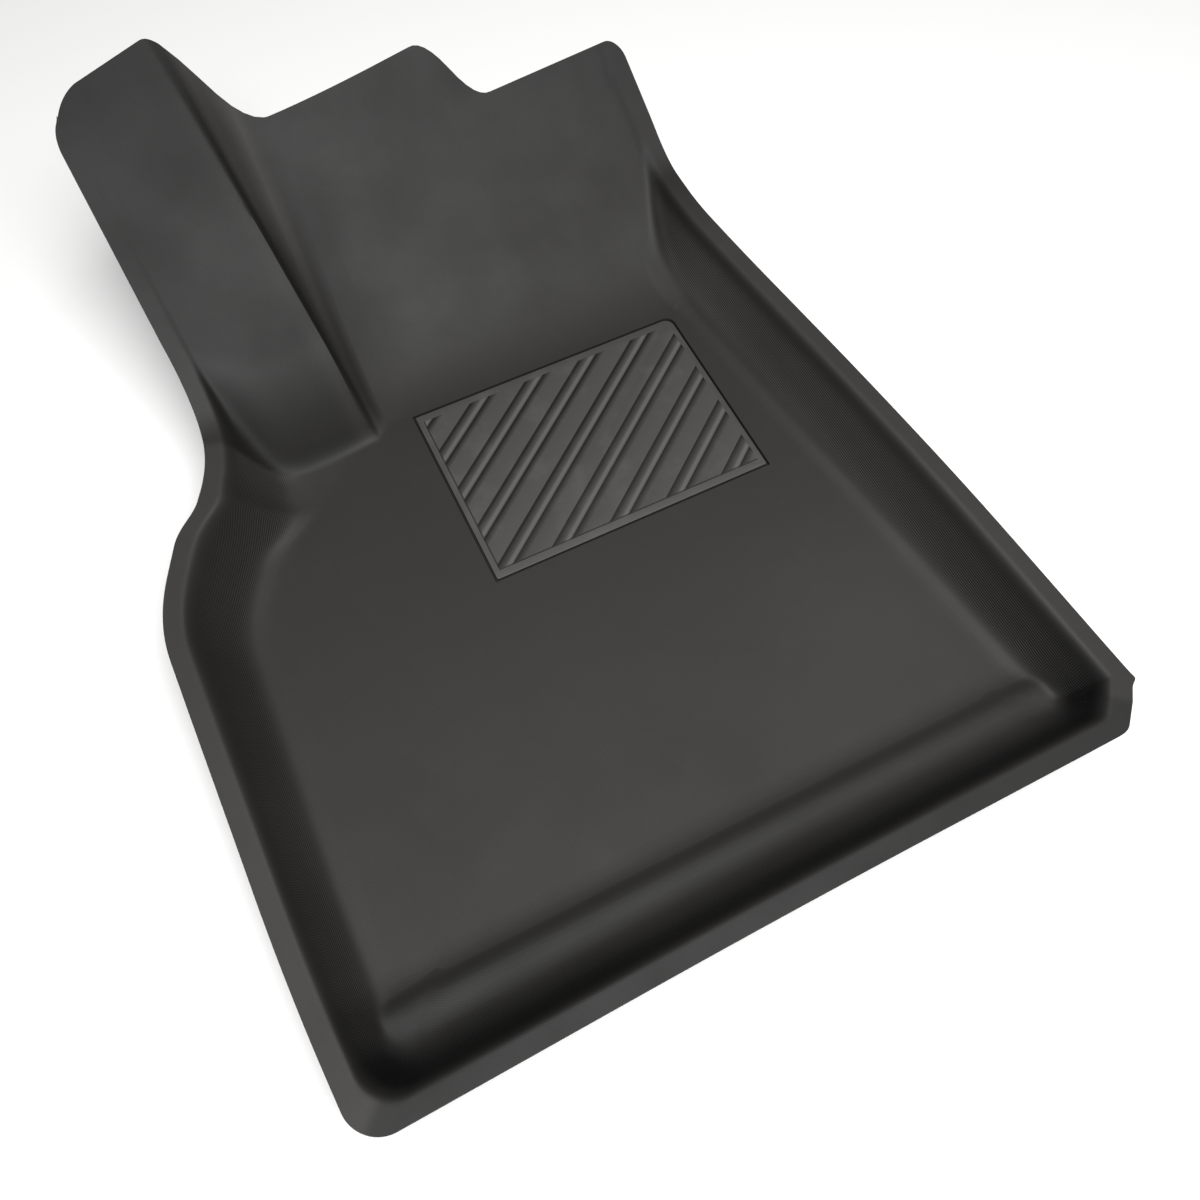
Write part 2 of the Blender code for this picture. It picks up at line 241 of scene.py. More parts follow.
@dataclass(frozen=True)
class Mould:
    """Heights of the mat's top face over its flat floor."""

    outline: Outline = Outline()
    lip: float = 16.5
    wall_slope: float = 1.88
    wall_height: float = 52.0
    left_wall: SoftLine = SoftLine(
        ((-30, 0, 0), (0, 0, 3.5), (7, 19.5, 4), (19, 43, 6), (27, 50.5, 6), (38, 54, 6), (90, 120, 0))
    )
    right_wall: SoftLine = SoftLine(
        ((-30, 0, 0), (0, 0, 4.5), (19, 41, 6), (27, 50, 6), (38, 54, 6), (90, 120, 0))
    )
    rear_wall: SoftLine = SoftLine(
        ((-30, 0, 0), (0, 0, 4), (12, 28, 5), (19, 36, 5), (31, 44, 8), (52, 54, 7), (90, 120, 0))
    )
    shelf_step: float = 6.0
    apron_start: float = 116.0
    apron_full: float = 220.0
    apron_slope: float = 0.8
    left_rim: SoftLine = SoftLine(
        ((-388, 45.5, 0), (-240, 47, 60), (-60, 58, 60), (70, 61, 50), (131, 62, 12), (388, 202.6, 0))
    )
    right_rim: SoftLine = SoftLine(
        ((-388, 41, 0), (-190, 50, 60), (-40, 53, 40), (124, 52, 40), (240, 53.5, 30), (388, 60, 0))
    )
    crown: Facet = Facet(75.0, -220.0, 154.0, -0.13, 0.547)
    ridge: SoftLine = SoftLine(((90, -99.5, 0), (388, -137.0, 0)))
    side_foot: SoftLine = SoftLine(((90, -90, 0), (225, -89, 40), (388, -72, 0)))
    nose_left: Facet = Facet(6.0, -170.0, 103.0, 0.55, 1.75)
    nose_right: Facet = Facet(1.0, -132.0, 106.0, -0.22, 1.75)
    toe_facet: Facet = Facet(0.0, -153.0, 91.0, -0.115, 0.139)
    side_fall: SoftLine = SoftLine(((-1, 0, 0), (0, 0, 0.02), (0.46, 0.74, 0.1), (1, 1, 0.12), (2, 1.35, 0)))
    nose_blend: float = 9.0
    side_blend_gain: float = 7.0
    wall_blend: float = 4.0
    board_blend_gain: float = 12.0
    hollow_blend_gain: float = 16.0

    def apron(self, y: Array) -> Array:
        """Height of the toe board over the flat floor."""
        half = (self.apron_full - self.apron_start) / 2
        return self.apron_slope * soft_ramp(y - (self.apron_start + half), half)

    def shelf(self, y: Array) -> Array:
        """Height of the step along the rear wall."""
        step = self.shelf_step
        return SoftLine(((-388, step, 0), (-320, step, 5.5), (-307, 0, 5.5), (388, 0, 0))).at(y)

    def hump(self, x: Array, y: Array) -> Array:
        """Height of the footrest: a sloping crown, a side face and a rounded nose."""
        ridge, foot = self.ridge.at(y), self.side_foot.at(y)
        crest = self.crown.at(ridge, y)
        past = (x - ridge) / (foot - ridge)
        side = crest - (crest - self.apron(y)) * np.where(past < 0, 3 * past, self.side_fall.at(past))
        nose = soft_min(self.nose_left.at(x, y), self.nose_right.at(x, y), 12)
        return soft_min(soft_min(self.crown.at(x, y), side, 4), nose, 36)

    def rim(self, x: Array, y: Array) -> Array:
        """Height of the flange, carried across the mat from its left to its right edge."""
        left, right = self.outline.left.at(y), self.outline.right.at(y)
        share = (x - left) / (right - left)
        share = share + smooth_step((share - 0.5) / 0.35) * (1 - share)
        return (1 - share) * self.left_rim.at(y) + share * self.right_rim.at(y)

    def height(self, x: Array, y: Array, edges: tuple[Array, Array, Array]) -> Array:
        """Height of the top face.

        Args:
            x: Place along X.
            y: Place along Y.
            edges: Distances in from the left, right and rear edges of the flange.

        Returns:
            Height over the flat floor.
        """
        left, right, rear = edges
        depth = np.minimum(np.minimum(left, right), rear)
        rim = self.rim(x, y)
        into = (depth - self.lip) * self.wall_height / np.minimum(rim, 62.0)
        side_fall = np.where(left < right, self.left_wall.at(into), self.right_wall.at(into))
        by_rear = smooth_step(0.5 + (np.minimum(left, right) - rear) / 50)
        fall = (1 - by_rear) * side_fall + by_rear * self.rear_wall.at(into)
        wall = rim - fall * rim / self.wall_height
        floor = soft_max(self.apron(y) + self.shelf(y), self.toe_facet.at(x, y), 3)
        toe = self.nose_blend + self.side_blend_gain * smooth_step((y - 110) / 110)
        ground = soft_max(floor, self.hump(x, y), toe)
        by_nose = smooth_step((y - 92) / 25) * smooth_step((215 - y) / 50) * smooth_step((-140 - x) / 30)
        by_nose = by_nose * smooth_step((depth - self.lip) / 10)
        by_board = smooth_step((y - 100) / 70)
        foot = self.wall_blend + self.board_blend_gain * by_board * smooth_step((x - 60) / 60)
        foot = foot + self.hollow_blend_gain * by_nose
        return soft_max(ground, wall, foot)


@dataclass(frozen=True)
class PaintedSkinLight:
    """Painted light, sheen and shade on the skin in each zone, as factors of its colour."""

    # Factors above 1 paint light and sheen, factors below 1 paint shade; recess paints shadow in the gap
    # round the heel pad.
    left_lip: float = 1.42
    right_lip_gain: float = 0.55
    rear_lip: float = 0.45
    board: float = 0.24
    board_front: float = 0.30
    tab_edges: float = 0.28
    rear_floor: float = 0.10
    shelf: float = 0.24
    shelf_left: float = 0.16
    rear_right_floor: float = 0.50
    footrest_top: float = 0.48
    nose_ease: float = 0.12
    footrest_side: float = 1.1
    footrest_side_front: float = 0.8
    valley: float = 0.34
    crest: float = 0.75
    rear_wall: float = 0.28
    corner: float = 0.80
    left_corner: float = 0.15
    right_wall: float = 0.95
    right_wall_front: float = 0.6
    left_wall_rear: float = 0.3
    left_wall_front: float = 0.7
    right_edge: float = 0.4
    recess: float = 0.12


# ---- the net of points that every sheet shares -----------------------------------------


@dataclass
class Net:
    """A net over the mat, dense where the mould curves."""

    mould: Mould = field(default_factory=Mould)
    pad_centre: tuple[float, float] = (58.5, 26.5)
    pad_size: tuple[float, float] = (246.0, 174.0)
    pad_corner: float = 8.0
    recess_wall: float = 0.6
    front_stretch: float = 120.0
    rear_stretch: float = -300.0
    front: float = 390.0
    passes: int = 10
    painted_light: PaintedSkinLight = PaintedSkinLight()

    def __post_init__(self) -> None:
        """Lay the net out."""
        ys = self.stations()
        keys, shares = self.column_plan()
        y0 = np.repeat(ys[:, None], len(keys), 1)
        y, x = y0.copy(), np.zeros_like(y0)
        edge = self.mould.outline
        mid_rear = edge.rear.at(0.0)
        for _ in range(self.passes):
            lines = self.key_columns(y)
            low = np.take_along_axis(lines, keys[None, None, :].repeat(len(ys), 1), 0)[0]
            high = np.take_along_axis(lines, keys[None, None, :].repeat(len(ys), 1) + 1, 0)[0]
            x = low + shares * (high - low)
            reach = (edge.front.at(x) - self.front_stretch) / (self.front - self.front_stretch)
            ahead = self.front_stretch + (y0 - self.front_stretch) * reach
            back = (self.rear_stretch - y0) / (self.rear_stretch - mid_rear)
            behind = y0 + back * (edge.rear.at(x) - mid_rear)
            y = np.where(y0 > self.front_stretch, ahead, np.where(y0 < self.rear_stretch, behind, y0))
        left = (x - edge.left.at(y)) * edge.left.lean(y)
        right = (edge.right.at(y) - x) * edge.right.lean(y)
        edges = self.edges = (left, right, y - edge.rear.at(x))
        half = [size / 2 + 0.01 for size in self.pad_size]
        self.sunk = (np.abs(x - self.pad_centre[0]) <= half[0]) & (
            np.abs(y - self.pad_centre[1]) <= half[1]
        )
        x, y = self.round_pad_corner(x, y)
        self.x, self.y = edge.round_corners(x, y)
        self.z = self.mould.height(self.x, self.y, edges)

    def round_pad_corner(self, x: Array, y: Array) -> tuple[Array, Array]:
        """Round the recess's front right corner."""
        right, front = self.pad_limits(0)[1], self.pad_limits(1)[1]
        side, end = right - x, front - y
        radius = self.pad_corner * (1 - smooth_step(np.abs(np.minimum(side, end)) / 18))
        side, end = self.mould.outline.bend(side, end, radius)
        return right - side, front - end

    def pad_limits(self, axis: int) -> tuple[float, float]:
        """The recess's low and high edge along an axis."""
        half = self.pad_size[axis] / 2
        return self.pad_centre[axis] - half, self.pad_centre[axis] + half

    def key_columns(self, y: Array) -> Array:
        """X of every key column where a row crosses it at y.

        Args:
            y: Places along Y.

        Returns:
            An array with one layer for each key column.
        """
        mould, edge = self.mould, self.mould.outline
        left, right = edge.left.at(y), edge.right.at(y)
        left_lean, right_lean = edge.left.lean(y), edge.right.lean(y)
        left_foot = mould.lip + np.minimum(61.0, mould.left_rim.at(y)) / mould.wall_slope
        right_foot = mould.lip + mould.right_rim.at(np.minimum(124.0, y)) / mould.wall_slope
        ridge, foot = mould.ridge.at(np.maximum(90.0, y)), mould.side_foot.at(np.maximum(90.0, y))
        pad_left, pad_right = self.pad_limits(0)
        inner = right - (right_foot + 9) / right_lean
        pad_right = np.minimum(pad_right, inner - 4)
        lines = [left + step / left_lean for step in (0.0 * y, 8.5 + 0 * y, 25.5 + 0 * y)]
        lines += [left + step / left_lean for step in (left_foot - 9, left_foot + 9)]
        lines += [ridge - 12, ridge + 3, foot - 3, foot + 4]
        lines += [pad_left - self.recess_wall + 0 * y, pad_left + 0 * y]
        lines += [pad_right, pad_right + self.recess_wall]
        lines += [right - step / right_lean for step in (right_foot + 9, right_foot - 9)]
        lines += [right - step / right_lean for step in (25.5 + 0 * y, 8.5 + 0 * y, 0.0 * y)]
        return np.stack(lines)

    def column_plan(self) -> tuple[Array, Array]:
        """Which key column each column follows, and how far it lies towards the next."""
        cells = (4, 10, 5, 10, 16, 8, 7, 6, 1, 1, 56, 1, 10, 10, 5, 10, 4)
        keys, shares = [], []
        for key, count in enumerate(cells):
            keys += [key] * count
            shares += [step / count for step in range(count)]
        return np.array(keys + [len(cells) - 1]), np.array(shares + [1.0])

    def stations(self) -> Array:
        """Y of every row before it is stretched to the outline, from rear to front."""
        rear = float(self.mould.outline.rear.at(0.0))
        pad_rear, pad_front = self.pad_limits(1)
        wall = self.recess_wall
        marks = (rear, rear + 8.5, rear + 44.6, -321, -309, pad_rear - wall, pad_rear, 42)
        marks += (pad_front, pad_front + wall, 140, 235, self.front)
        cells = (4, 21, 4, 10, 30, 1, 20, 32, 1, 12, 26, 34)
        ys = [marks[0]]
        for low, high, count in zip(marks, marks[1:], cells):
            ys += [low + (high - low) * step / count for step in range(1, count + 1)]
        return np.array(ys)

    def normals(self) -> Array:
        """Unit normals of the unrecessed top face."""
        points = np.stack((self.x, self.y, self.z), -1)
        across, along = np.gradient(points, axis=1), np.gradient(points, axis=0)
        found = np.cross(across, along)
        return found / np.linalg.norm(found, axis=-1, keepdims=True)

    def layer(self, down: float, floor: float, sunk: float) -> Array:
        """The net moved down its normals.

        Args:
            down: Distance below the top face.
            floor: Height of the flat floor's top face.
            sunk: How far the recess is pressed in.

        Returns:
            Points, in millimetres, as rows by columns by 3.
        """
        points = np.stack((self.x, self.y, self.z + floor), -1) - down * self.normals()
        points[..., 2] -= sunk * self.sunk
        return points

    def shade(self) -> Array:
        """Painted light and shade on the skin at each point, as a factor of its colour, with painted shadow
        in the recess round the heel pad.
        """
        shade = self.painted_lip_light()
        for factor in (*self.painted_floor_shading(), *self.painted_footrest_shading(), *self.painted_wall_shading()):
            shade = shade * factor
        return np.where(self.sunk, self.painted_light.recess, shade)

    def zones(self) -> tuple[Array, Array, Array, Array]:
        """Where each point lies.

        Returns:
            The distance from the nearer side edge, and how much each point belongs to the lip,
            to the rear and to the left.
        """
        left, right, rear = self.edges
        side = np.minimum(left, right)
        on_lip = 1 - smooth_step((np.minimum(side, rear) - self.mould.lip + 4) / 4)
        by_rear = smooth_step(0.5 + (side - rear) / 12)
        by_left = smooth_step(0.5 + (right - left) / 40)
        return side, on_lip, by_rear, by_left

    def painted_lip_light(self) -> Array:
        """Painted sheen on the side lips and painted shade on the rear lip, and 1 elsewhere."""
        painted_light, y = self.painted_light, self.y
        _, on_lip, by_rear, by_left = self.zones()
        right_lip = 1.0 + painted_light.right_lip_gain * smooth_step((y + 300) / 420)
        beside = by_left * painted_light.left_lip + (1 - by_left) * right_lip
        lip = by_rear * painted_light.rear_lip + (1 - by_rear) * beside
        lip = 1 + (lip - 1) * (1 - smooth_step((y - 175) / 60))
        return 1 + (lip - 1) * on_lip

    def painted_floor_shading(self) -> list[Array]:
        """Painted shade on the toe board, the rear floor, the shelf and the tabs' edges, and a painted pool
        of light on the rear right floor.
        """
        painted_light, x, y = self.painted_light, self.x, self.y
        side, on_lip, _, _ = self.zones()
        off_lip = 1 - on_lip
        board = painted_light.board * smooth_step((y - 120) / 60)
        board_front = painted_light.board_front * smooth_step((y - 230) / 130)
        rear_floor = painted_light.rear_floor * smooth_step((-150 - y) / 120)
        shelf = painted_light.shelf + painted_light.shelf_left * smooth_step((-60 - x) / 120)
        corner = np.exp(-((x - 190) ** 2 + (y + 230) ** 2) / 110**2)
        tab_edges = painted_light.tab_edges * smooth_step((y - 275) / 60)
        return [
            1 - board - board_front,
            1 - rear_floor * off_lip,
            1 - shelf * smooth_step((-290 - y) / 30) * off_lip,
            1 + painted_light.rear_right_floor * corner,
            1 - tab_edges * smooth_step((self.mould.lip + 3 - side) / 8 + x / 4),
        ]

    def painted_footrest_shading(self) -> list[Array]:
        """Painted shade on the footrest's top and in the valley beside it, painted light on its side and a
        painted highlight along its crest.
        """
        painted_light, mould, x, y = self.painted_light, self.mould, self.x, self.y
        nose = soft_min(mould.nose_left.at(x, y), mould.nose_right.at(x, y), 12)
        ridge, foot = mould.ridge.at(y), mould.side_foot.at(y)
        on_side = smooth_step((x - ridge - 3) / 6)
        on_top = self.on_footrest(10.0) * (1 - on_side)
        on_nose = smooth_step((mould.crown.at(x, y) - nose + 34) / 60) * smooth_step((y - 80) / 30)
        on_foot = self.on_footrest(1.0)
        side_gain = painted_light.footrest_side + painted_light.footrest_side_front * smooth_step((y - 235) / 50)
        valley = np.exp(-(((x - foot - 12) / 17) ** 2)) * smooth_step((y - 150) / 70)
        crest = np.exp(-(((x - ridge + 5) / 8) ** 2)) * smooth_step((y - 100) / 16)
        return [
            1 - on_top * painted_light.footrest_top * (1 - painted_light.nose_ease * on_nose),
            1 + on_foot * on_side * side_gain,
            1 - painted_light.valley * valley * (1 - on_foot),
            1 + painted_light.crest * crest,
        ]

    def painted_wall_shading(self) -> list[Array]:
        """Painted shade on the rear wall, its corners and the right wall's upper edge, and painted light on
        the side walls.
        """
        painted_light, x, y = self.painted_light, self.x, self.y
        side, _, by_rear, by_left = self.zones()
        corner = smooth_step((62 - side) / 24) * smooth_step((62 - self.edges[2]) / 24)
        walled, off_rear = self.on_wall(), 1 - by_rear
        off_middle = 1 - np.exp(-((x / 150) ** 2))
        in_corner = (painted_light.corner + painted_light.left_corner * by_left) * corner
        right_wall = walled * off_rear * (1 - by_left)
        along_right = painted_light.right_wall * smooth_step((y + 260) / 260)
        front_right = painted_light.right_wall_front * smooth_step((y - 20) / 100)
        left_wall = walled * off_rear * by_left * (1 - corner)
        rear_left = painted_light.left_wall_rear * smooth_step((-100 - y) / 100)
        front_left = painted_light.left_wall_front * smooth_step((y - 70) / 40)
        edge = np.exp(-(((side - self.mould.lip - 3) / 3.5) ** 2)) * off_rear * (1 - by_left)
        return [
            1 - walled * np.maximum(painted_light.rear_wall * by_rear * off_middle, in_corner),
            1 + right_wall * (along_right + front_right),
            1 + left_wall * (rear_left + front_left),
            1 - painted_light.right_edge * edge,
        ]

    def on_wall(self) -> Array:
        """1 on the raised walls and 0 on the flange, the floor and the toe board."""
        mould = self.mould
        depth = np.minimum(np.minimum(self.edges[0], self.edges[1]), self.edges[2])
        raised = self.z - mould.apron(self.y) - mould.shelf(self.y)
        within = smooth_step((depth - mould.lip - 1) / 5) * smooth_step((mould.lip + 40 - depth) / 10)
        return within * smooth_step((raised - 2) / 9) * (1 - self.on_footrest(1.0))

    def on_footrest(self, spread: float) -> Array:
        """1 on the footrest, fading to 0 off it.

        Args:
            spread: How far under the floor the footrest's faces still count.

        Returns:
            The share at each point.
        """
        raised = self.mould.hump(self.x, self.y) - self.mould.apron(self.y)
        return smooth_step((raised + spread) / (spread + 2)) * smooth_step((-92 - self.x) / 10)

    def cloth_coordinates(self) -> Array:
        """Distances along the sheet, so that a grain keeps its size on the walls."""
        points = np.stack((self.x, self.y, self.z), -1)
        middle = [size // 2 for size in self.x.shape]
        found = []
        for axis in (1, 0):
            steps = np.linalg.norm(np.diff(points, axis=axis), axis=-1)
            start = np.zeros_like(steps.take([0], axis))
            run = np.concatenate((start, np.cumsum(steps, axis)), axis)
            run = run - run.take([middle[axis]], axis)
            origin = (self.x if axis else self.y).take([middle[axis]], axis)
            found.append(run + origin)
        return np.stack(found, -1)


# ---- node graphs -----------------------------------------------------------------------


class Graph:
    """A material's node tree with short ways to add and join nodes."""

    def __init__(self, name: str) -> None:
        """Start a material with one Principled shader."""
        self.material = bpy.data.materials.new(name)
        self.material.use_nodes = True
        self.tree = self.material.node_tree
        self.shader = self.tree.nodes["Principled BSDF"]

    def add(self, kind: str, **settings: object) -> bpy.types.Node:
        """Add a node and set its properties."""
        node = self.tree.nodes.new(kind)
        for key, value in settings.items():
            setattr(node, key, value)
        return node

    def put(self, socket: bpy.types.NodeSocket, value: object) -> None:
        """Link a socket to another node's output, or set its own value."""
        if isinstance(value, bpy.types.NodeSocket):
            self.tree.links.new(value, socket)
        else:
            socket.default_value = value

    def calc(self, operation: str, *values: object) -> bpy.types.NodeSocket:
        """A Math node's result."""
        node = self.add("ShaderNodeMath", operation=operation)
        for socket, value in zip(node.inputs, values):
            self.put(socket, value)
        return node.outputs[0]

    def noise(self, vector: object, scale: float, detail: float = 2.0) -> bpy.types.NodeSocket:
        """A noise texture's value, about 0.5 on average."""
        node = self.add("ShaderNodeTexNoise")
        self.put(node.inputs["Vector"], vector)
        node.inputs["Scale"].default_value = scale
        node.inputs["Detail"].default_value = detail
        return node.outputs["Fac"]

    def spread(self, value: object, low: float, high: float, start: float, end: float) -> object:
        """Map a value from low..high to start..end, clamped."""
        node = self.add("ShaderNodeMapRange")
        for socket, given in zip(node.inputs, (value, low, high, start, end)):
            self.put(socket, given)
        return node.outputs[0]

    def tint(self, share: object, first: Colour, second: Colour) -> bpy.types.NodeSocket:
        """A colour between two, by share."""
        node = self.add("ShaderNodeMix", data_type="RGBA")
        self.put(node.inputs[0], share)
        self.put(node.inputs[6], (*first, 1.0))
        self.put(node.inputs[7], (*second, 1.0))
        return node.outputs[2]

    def bump(self, height: object, distance: float, under: object = None) -> bpy.types.NodeSocket:
        """A Bump node's normal, laid over another one where given."""
        node = self.add("ShaderNodeBump")
        node.inputs["Strength"].default_value = 1.0
        node.inputs["Distance"].default_value = distance
        self.put(node.inputs["Height"], height)
        if under is not None:
            self.put(node.inputs["Normal"], under)
        return node.outputs[0]

    def object_place(self) -> bpy.types.NodeSocket:
        """Place in the object's own frame, in metres."""
        return self.add("ShaderNodeTexCoord").outputs["Object"]

    def finish(self, colour: object, roughness: object, normal: object = None) -> None:
        """Wire the shader's main sockets."""
        self.put(self.shader.inputs["Base Color"], colour)
        self.put(self.shader.inputs["Roughness"], roughness)
        if normal is not None:
            self.put(self.shader.inputs["Normal"], normal)


@dataclass(frozen=True)
class GrainedSkin:
    """Matte charcoal elastomer, embossed with a fine diamond grain."""

    colour: Colour = (0.0185, 0.0172, 0.0163)
    worn: Colour = (0.025, 0.0235, 0.0225)
    roughness: float = 0.62
    specular: float = 0.35
    pitch: float = 2.5 * MM
    relief: float = 0.26 * MM

    def material(self) -> bpy.types.Material:
        """Build the material."""
        graph = Graph("grained_skin")
        sheet = graph.add("ShaderNodeUVMap", uv_map="sheet").outputs[0]
        split = graph.add("ShaderNodeSeparateXYZ")
        graph.put(split.inputs[0], sheet)
        waves = []
        for operation in ("ADD", "SUBTRACT"):
            run = graph.calc(operation, split.outputs[0], split.outputs[1])
            turn = graph.calc("MULTIPLY", run, 2 * math.pi / (self.pitch * math.sqrt(2)))
            waves.append(graph.calc("SINE", turn))
        depth = graph.add("ShaderNodeAttribute", attribute_name="grain").outputs["Fac"]
        grain = graph.calc("MULTIPLY", graph.calc("MULTIPLY", *waves), depth)
        place = graph.object_place()
        fine = graph.noise(place, 900.0, 3.0)
        cloudy = graph.noise(place, 14.0, 4.0)
        normal = graph.bump(grain, self.relief)
        normal = graph.bump(fine, 0.05 * MM, normal)
        rub = graph.spread(graph.noise(place, 60.0, 5.0), 0.45, 0.75, 0.0, 0.35)
        colour = graph.tint(graph.calc("MULTIPLY", rub, cloudy), self.colour, self.worn)
        # Painted light and shade: the skin's colour is scaled by the shade attribute.
        scaled = graph.add("ShaderNodeVectorMath", operation="SCALE")
        graph.put(scaled.inputs[0], colour)
        shade = graph.add("ShaderNodeAttribute", attribute_name="shade").outputs["Fac"]
        graph.put(scaled.inputs["Scale"], shade)
        colour = scaled.outputs[0]
        roughness = graph.spread(cloudy, 0.3, 0.7, self.roughness - 0.04, self.roughness + 0.04)
        graph.finish(colour, roughness, normal)
        graph.shader.inputs["Specular IOR Level"].default_value = self.specular
        return graph.material


@dataclass(frozen=True)
class ClosedFoam:
    """Black closed-cell foam, seen at the sheet's cut edge."""

    colour: Colour = (0.010, 0.010, 0.010)

    def material(self) -> bpy.types.Material:
        """Build the material."""
        graph = Graph("closed_foam")
        place = graph.object_place()
        cells = graph.add("ShaderNodeTexVoronoi")
        graph.put(cells.inputs["Vector"], place)
        cells.inputs["Scale"].default_value = 2200.0
        normal = graph.bump(cells.outputs["Distance"], 0.15 * MM)
        shade = graph.spread(cells.outputs["Distance"], 0.0, 0.6, 1.0, 0.0)
        colour = graph.tint(shade, self.colour, (0.022, 0.022, 0.022))
        graph.finish(colour, 0.88, normal)
        return graph.material


@dataclass(frozen=True)
class NeedleFelt:
    """Dark grey needle-punched felt."""

    colour: Colour = (0.022, 0.022, 0.024)
    fibre: Colour = (0.085, 0.085, 0.090)

    def material(self) -> bpy.types.Material:
        """Build the material."""
        graph = Graph("needle_felt")
        place = graph.object_place()
        warp = graph.add("ShaderNodeTexNoise")
        graph.put(warp.inputs["Vector"], place)
        warp.inputs["Scale"].default_value = 160.0
        bent = graph.add("ShaderNodeVectorMath", operation="MULTIPLY_ADD")
        graph.put(bent.inputs[0], warp.outputs["Color"])
        graph.put(bent.inputs[1], (0.006, 0.006, 0.006))
        graph.put(bent.inputs[2], place)
        fibres = graph.noise(bent.outputs[0], 1500.0, 6.0)
        tufts = graph.noise(place, 220.0, 4.0)
        share = graph.calc("MULTIPLY", graph.spread(fibres, 0.45, 0.72, 0.0, 1.0), tufts)
        normal = graph.bump(fibres, 0.5 * MM)
        normal = graph.bump(tufts, 0.8 * MM, normal)
        graph.finish(graph.tint(share, self.colour, self.fibre), 0.95, normal)
        graph.shader.inputs["Sheen Weight"].default_value = 0.25
        graph.shader.inputs["Sheen Roughness"].default_value = 0.6
        return graph.material


@dataclass(frozen=True)
class PadRubber:
    """Denser elastomer of the heel pad: pale on top, with random scuffs, a painted highlight on its ridges
    and painted shadow in its grooves.
    """

    colour: Colour = (0.048, 0.0462, 0.0445)
    # Colour of random scuffs of wear and of the painted highlight on the ridges.
    worn_and_highlit: Colour = (0.086, 0.083, 0.080)
    # Painted shadow colour at the bottom of the grooves.
    groove: Colour = (0.0035, 0.0033, 0.0032)
    roughness: float = 0.55

    def material(self, layout: "RibLayout", top: float) -> bpy.types.Material:
        """Build the material.

        Args:
            layout: Where the ridges and grooves lie.
            top: Height of the pad's top face, in millimetres.

        Returns:
            The material.
        """
        graph = Graph("pad_rubber")
        place = graph.object_place()
        split = graph.add("ShaderNodeSeparateXYZ")
        graph.put(split.inputs[0], place)
        east = graph.calc("SUBTRACT", split.outputs[0], layout.centre[0] * MM)
        north = graph.calc("SUBTRACT", split.outputs[1], layout.centre[1] * MM)
        along_x = graph.calc("MULTIPLY", east, -math.sin(layout.slant))
        across = graph.calc("ADD", along_x, graph.calc("MULTIPLY", north, math.cos(layout.slant)))
        turn = graph.calc("SUBTRACT", across, (layout.first_bar + layout.pitch / 2) * MM)
        turn = graph.calc("PINGPONG", turn, layout.pitch / 2 * MM)
        # Painted highlight: the ridges' tops take the paler colour.
        ridge = graph.spread(turn, 0.7 * MM, 2.2 * MM, 1.0, 0.0)
        for offset, limit in ((east, layout.inner[0]), (north, layout.inner[1])):
            inside = graph.spread(graph.calc("ABSOLUTE", offset), (limit - 1) * MM, limit * MM, 1.0, 0.0)
            ridge = graph.calc("MULTIPLY", ridge, inside)
        scuffs = graph.spread(graph.noise(place, 45.0, 6.0), 0.5, 0.8, 0.0, 0.35)
        colour = graph.tint(graph.calc("MAXIMUM", ridge, scuffs), self.colour, self.worn_and_highlit)
        # Painted shadow: darker the deeper into a groove.
        deep = graph.spread(split.outputs[2], (top - layout.depth) * MM, (top - 0.05) * MM, 1.0, 0.0)
        colour = self.shadowed_by_depth(graph, colour, deep)
        normal = graph.bump(graph.noise(place, 1200.0, 2.0), 0.04 * MM)
        roughness = graph.spread(scuffs, 0.0, 0.35, self.roughness, self.roughness + 0.1)
        graph.finish(colour, roughness, normal)
        return graph.material

    def shadowed_by_depth(self, graph: Graph, colour: object, deep: object) -> bpy.types.NodeSocket:
        """Mix a colour towards the painted groove shadow by depth."""
        node = graph.add("ShaderNodeMix", data_type="RGBA")
        graph.put(node.inputs[0], deep)
        graph.put(node.inputs[6], colour)
        graph.put(node.inputs[7], (*self.groove, 1.0))
        return node.outputs[2]


@dataclass(frozen=True)
class HookTape:
    """Black hook tape: rows of tiny stiff hooks on a woven band."""

    colour: Colour = (0.006, 0.006, 0.006)
    tip: Colour = (0.035, 0.035, 0.037)
    pitch: float = 1.3 * MM

    def material(self) -> bpy.types.Material:
        """Build the material."""
        graph = Graph("hook_tape")
        split = graph.add("ShaderNodeSeparateXYZ")
        graph.put(split.inputs[0], graph.object_place())
        rows = []
        for output, stretch in ((0, 1.0), (1, 1.35)):
            turn = graph.calc("MULTIPLY", split.outputs[output], 2 * math.pi / (self.pitch * stretch))
            rows.append(graph.spread(graph.calc("SINE", turn), -1.0, 1.0, 0.0, 1.0))
        hooks = graph.calc("MULTIPLY", *rows)
        normal = graph.bump(hooks, 0.5 * MM)
        graph.finish(graph.tint(graph.calc("POWER", hooks, 2.0), self.colour, self.tip), 0.6, normal)
        return graph.material


@dataclass(frozen=True)
class PaleFloor:
    """Plain pale studio floor."""

    colour: Colour = (0.86, 0.86, 0.855)

    def material(self) -> bpy.types.Material:
        """Build the material."""
        graph = Graph("pale_floor")
        graph.finish((*self.colour, 1.0), 0.9)
        graph.shader.inputs["Specular IOR Level"].default_value = 0.1
        return graph.material


# ---- meshes ----------------------------------------------------------------------------


